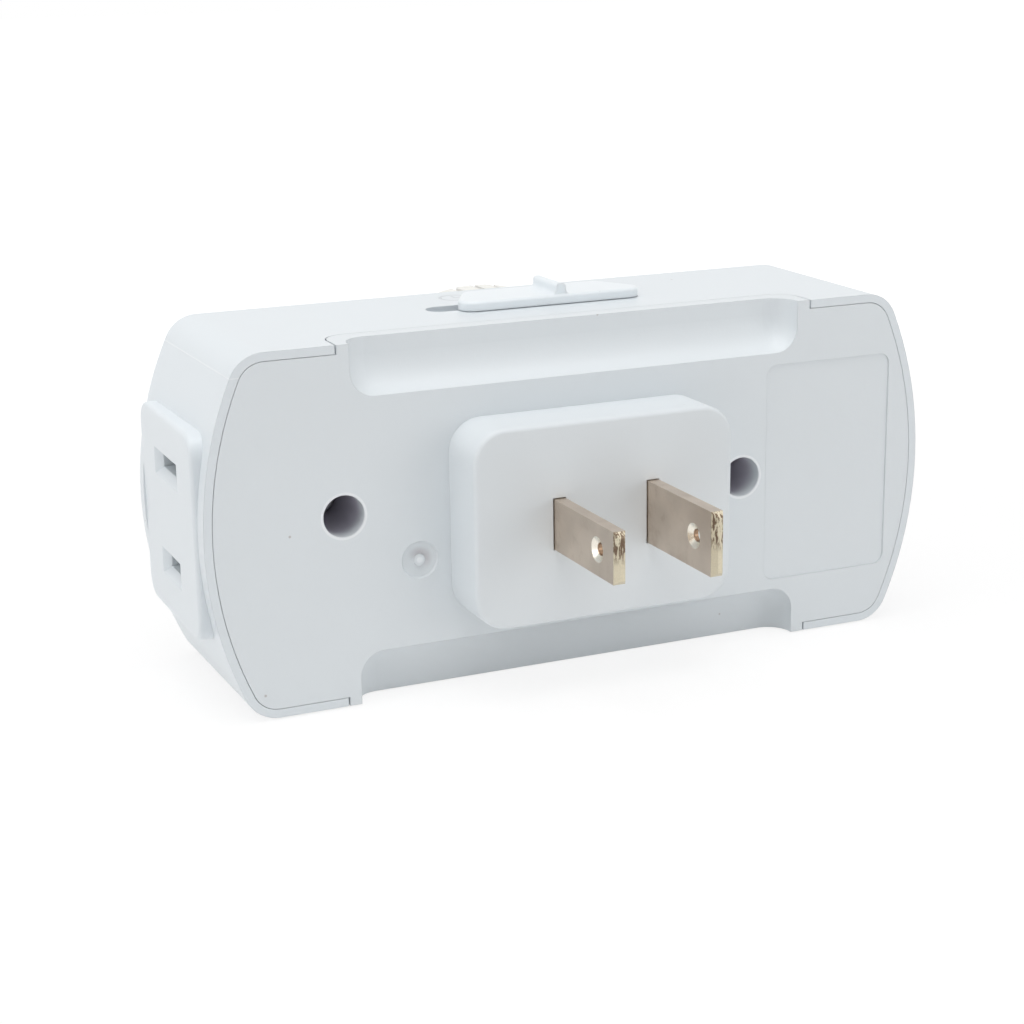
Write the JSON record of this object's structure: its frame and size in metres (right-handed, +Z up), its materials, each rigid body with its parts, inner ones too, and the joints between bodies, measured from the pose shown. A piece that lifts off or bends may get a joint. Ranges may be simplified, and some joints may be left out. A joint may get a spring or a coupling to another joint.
{
  "type": "plug in timer switch",
  "caption": "Plug-in timer switch: oblong moulded body with two flat blades and boss on the back, an outlet in one end, a push-pin dial in front and an override slider on top.",
  "frame": {"origin": "midway between the two plug blades on the face of the boss that meets the wall plate", "axes": "+Y along the blades into the wall, +X towards the outlet end, +Z up, dial faces -Y"},
  "size_m": [0.1006, 0.061, 0.0482],
  "materials": {
    "housing_white": "cool white moulded plastic, satin gloss",
    "cover_white": "cool white moulded plastic with a fine texture",
    "slider_white": "cool white moulded plastic",
    "pin_cream": "cream moulded plastic",
    "dial_plastic": "white moulded plastic",
    "dial_face": "printed white plastic",
    "nickel_brass": "nickel plated brass, worn",
    "strip_brass": "stamped brass strip",
    "spring_bronze": "phosphor bronze spring",
    "contact_silver": "silver alloy contact",
    "steel": "zinc plated steel",
    "spring_steel": "spring steel",
    "motor_steel": "drawn steel can",
    "coil_copper": "enamelled copper winding",
    "gear_plastic": "natural acetal",
    "lever_plastic": "natural acetal",
    "frame_plastic": "dark moulded plastic"
  },
  "bodies": {
    "housing": {"front_housing": "housing_white", "rear_cover": "cover_white", "cover_screws": "steel", "blade_narrow": "nickel_brass", "blade_wide": "nickel_brass", "outlet_contact_neutral": "strip_brass", "outlet_contact_line": "strip_brass", "neutral_busbar": "strip_brass", "line_strip": "strip_brass", "load_strip": "strip_brass", "switch_anvil": "strip_brass", "anvil_contact_rivet": "contact_silver", "trip_lever_pin": "steel", "slider_detent_spring": "spring_steel", "mechanism_frame": "frame_plastic", "mechanism_screws": "steel", "motor_can": "motor_steel", "motor_lid": "motor_steel", "motor_coil": "coil_copper", "gear_axles": "steel", "dial_axle": "steel", "dial_cap": "dial_plastic"},
    "dial": {"program_dial": "dial_plastic", "dial_gear": "gear_plastic", "clutch_spring": "spring_steel", "dial_face": "dial_face"},
    "gear_1": {"reduction_gear_1": "gear_plastic"},
    "gear_2": {"reduction_gear_2": "gear_plastic"},
    "motor_shaft": {"motor_output_pinion": "gear_plastic"},
    "lever": {"trip_lever": "lever_plastic"},
    "leaf": {"switch_leaf": "spring_bronze", "leaf_contact_rivet": "contact_silver"},
    "slider": {"override_slider": "slider_white", "slider_carriage": "lever_plastic"},
    "pins_00h": {"pins_00h": "pin_cream"},
    "pins_03h": {"pins_03h": "pin_cream"},
    "pins_06h": {"pins_06h": "pin_cream"},
    "pins_09h": {"pins_09h": "pin_cream"},
    "pins_12h": {"pins_12h": "pin_cream"},
    "pins_15h": {"pins_15h": "pin_cream"},
    "pins_18h": {"pins_18h": "pin_cream"},
    "pins_21h": {"pins_21h": "pin_cream"}
  },
  "joints": [
    {"name": "dial_spin", "type": "hinge", "parent": "housing", "child": "dial", "pos_m": [-0.001, -0.038, 0.0004], "axis": [0, 1, 0], "continuous": true},
    {"name": "gear_2_spin", "type": "hinge", "parent": "housing", "child": "gear_2", "pos_m": [-0.01659, -0.029, 0.0094], "axis": [0, 1, 0], "continuous": true},
    {"name": "gear_1_spin", "type": "hinge", "parent": "housing", "child": "gear_1", "pos_m": [-0.01166, -0.027, 0.00013], "axis": [0, 1, 0], "continuous": true},
    {"name": "motor_spin", "type": "hinge", "parent": "housing", "child": "motor_shaft", "pos_m": [-0.01166, -0.022, -0.01037], "axis": [0, 1, 0], "continuous": true},
    {"name": "trip_lever_turn", "type": "hinge", "parent": "housing", "child": "lever", "pos_m": [0.0255, -0.0305, 0.0089], "axis": [0, 0, 1], "range_deg": [-6, 0], "stiffness_Nm_per_rad": 0.01},
    {"name": "switch_leaf_flex", "type": "hinge", "parent": "housing", "child": "leaf", "pos_m": [0.0268, -0.01275, 0.0089], "axis": [0, 0, 1], "range_deg": [0, 5.6]},
    {"name": "override_slide", "type": "slide", "parent": "housing", "child": "slider", "axis": [1, 0, 0], "range_m": [0, 0.0034]},
    {"name": "pins_00h_push", "type": "slide", "parent": "dial", "child": "pins_00h", "axis": [0, 1, 0], "range_m": [0, 0.0022]},
    {"name": "pins_03h_push", "type": "slide", "parent": "dial", "child": "pins_03h", "axis": [0, 1, 0], "range_m": [0, 0.0022]},
    {"name": "pins_06h_push", "type": "slide", "parent": "dial", "child": "pins_06h", "axis": [0, 1, 0], "range_m": [0, 0.0022]},
    {"name": "pins_09h_push", "type": "slide", "parent": "dial", "child": "pins_09h", "axis": [0, 1, 0], "range_m": [0, 0.0022]},
    {"name": "pins_12h_push", "type": "slide", "parent": "dial", "child": "pins_12h", "axis": [0, 1, 0], "range_m": [0, 0.0022]},
    {"name": "pins_15h_push", "type": "slide", "parent": "dial", "child": "pins_15h", "axis": [0, 1, 0], "range_m": [0, 0.0022]},
    {"name": "pins_18h_push", "type": "slide", "parent": "dial", "child": "pins_18h", "axis": [0, 1, 0], "range_m": [0, 0.0022]},
    {"name": "pins_21h_push", "type": "slide", "parent": "dial", "child": "pins_21h", "axis": [0, 1, 0], "range_m": [0, 0.0022]}
  ],
  "couplings": [
    {"joint": "gear_2_spin", "follows": "dial_spin", "ratio": -5},
    {"joint": "gear_1_spin", "follows": "dial_spin", "ratio": 12.5},
    {"joint": "motor_spin", "follows": "dial_spin", "ratio": -31.25},
    {"joint": "switch_leaf_flex", "follows": "trip_lever_turn", "ratio": -0.92}
  ]
}
